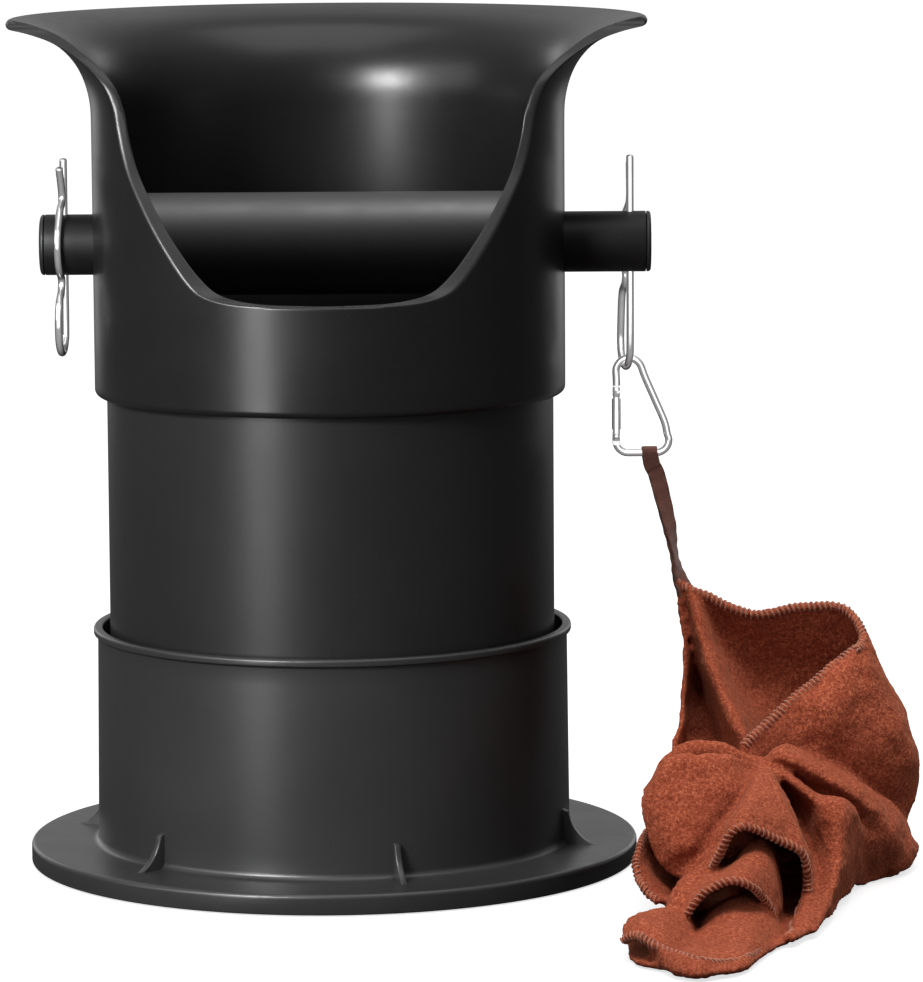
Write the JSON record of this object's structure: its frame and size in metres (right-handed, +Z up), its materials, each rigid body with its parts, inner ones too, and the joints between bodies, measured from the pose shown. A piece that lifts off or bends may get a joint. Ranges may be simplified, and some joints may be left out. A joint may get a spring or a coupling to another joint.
{
  "type": "espresso knock box",
  "caption": "Tall black tube knock box with a flared, cut-away hopper, rubber-sleeved knock bar held by hairpin clips, flanged foot and a bar towel on a carabiner.",
  "frame": {"origin": "centre of the foot's flat underside, on the tube's axis", "axes": "+Z up along the tube; the cut-away front of the hopper faces -Y; the knock bar lies along X, the towel hangs at +X"},
  "size_m": [0.3272, 0.3178, 0.3027],
  "materials": {
    "base_black": "satin moulded black plastic",
    "pipe_black": "satin extruded black pipe",
    "hopper_black": "satin moulded black plastic",
    "bar_black": "black coated steel tube",
    "sleeve_rubber": "dense black rubber",
    "plug_black": "black plastic",
    "clip_steel": "bright plated spring wire",
    "carabiner_steel": "polished steel",
    "towel_brown": "reddish-brown pile towelling with an overlocked hem",
    "strap_maroon": "narrow woven tape"
  },
  "bodies": {
    "foot": {"base_flange": "base_black"},
    "pipe": {"chute_pipe": "pipe_black"},
    "hopper_head": {"hopper": "hopper_black"},
    "knock_bar": {"knock_bar_core": "bar_black", "knock_bar_sleeve": "sleeve_rubber", "bar_end_plug_left": "plug_black", "bar_end_plug_right": "plug_black"},
    "left_clip": {"r_clip_left": "clip_steel"},
    "right_clip": {"r_clip_right": "clip_steel"},
    "carabiner": {"carabiner_body": "carabiner_steel", "carabiner_pivot_rivet": "carabiner_steel"},
    "gate": {"carabiner_gate": "carabiner_steel", "carabiner_catch_pin": "carabiner_steel", "carabiner_gate_spring": "carabiner_steel"},
    "towel": {"towel_cloth": "towel_brown", "towel_strap": "strap_maroon"}
  },
  "joints": [
    {"name": "pipe_lift", "type": "slide", "parent": "foot", "child": "pipe", "axis": [0, 0, 1], "range_m": [0, 0.085]},
    {"name": "hopper_turn", "type": "hinge", "parent": "pipe", "child": "hopper_head", "pos_m": [0, 0, 0.1987], "axis": [0, 0, 1], "continuous": true},
    {"name": "bar_turn", "type": "hinge", "parent": "hopper_head", "child": "knock_bar", "pos_m": [0, 0, 0.222], "axis": [1, 0, 0], "range_deg": [-20, 20]},
    {"name": "left_clip_pull", "type": "slide", "parent": "knock_bar", "child": "left_clip", "axis": [0, 0, -1], "range_m": [0, 0.045]},
    {"name": "right_clip_pull", "type": "slide", "parent": "knock_bar", "child": "right_clip", "axis": [0, 0, -1], "range_m": [0, 0.045]},
    {"name": "carabiner_swing", "type": "hinge", "parent": "right_clip", "child": "carabiner", "pos_m": [0.1068, 0.0062, 0.1763], "axis": [0, -1, 0], "range_deg": [0, 40]},
    {"name": "gate_open", "type": "hinge", "parent": "carabiner", "child": "gate", "pos_m": [0.1027, 0.0062, 0.151], "axis": [0, 1, 0], "range_deg": [0, 25], "stiffness_Nm_per_rad": 0.02},
    {"name": "towel_swing", "type": "hinge", "parent": "carabiner", "child": "towel", "pos_m": [0.1146, 0.0062, 0.145], "axis": [1, 0, 0], "range_deg": [-20, 20]}
  ]
}
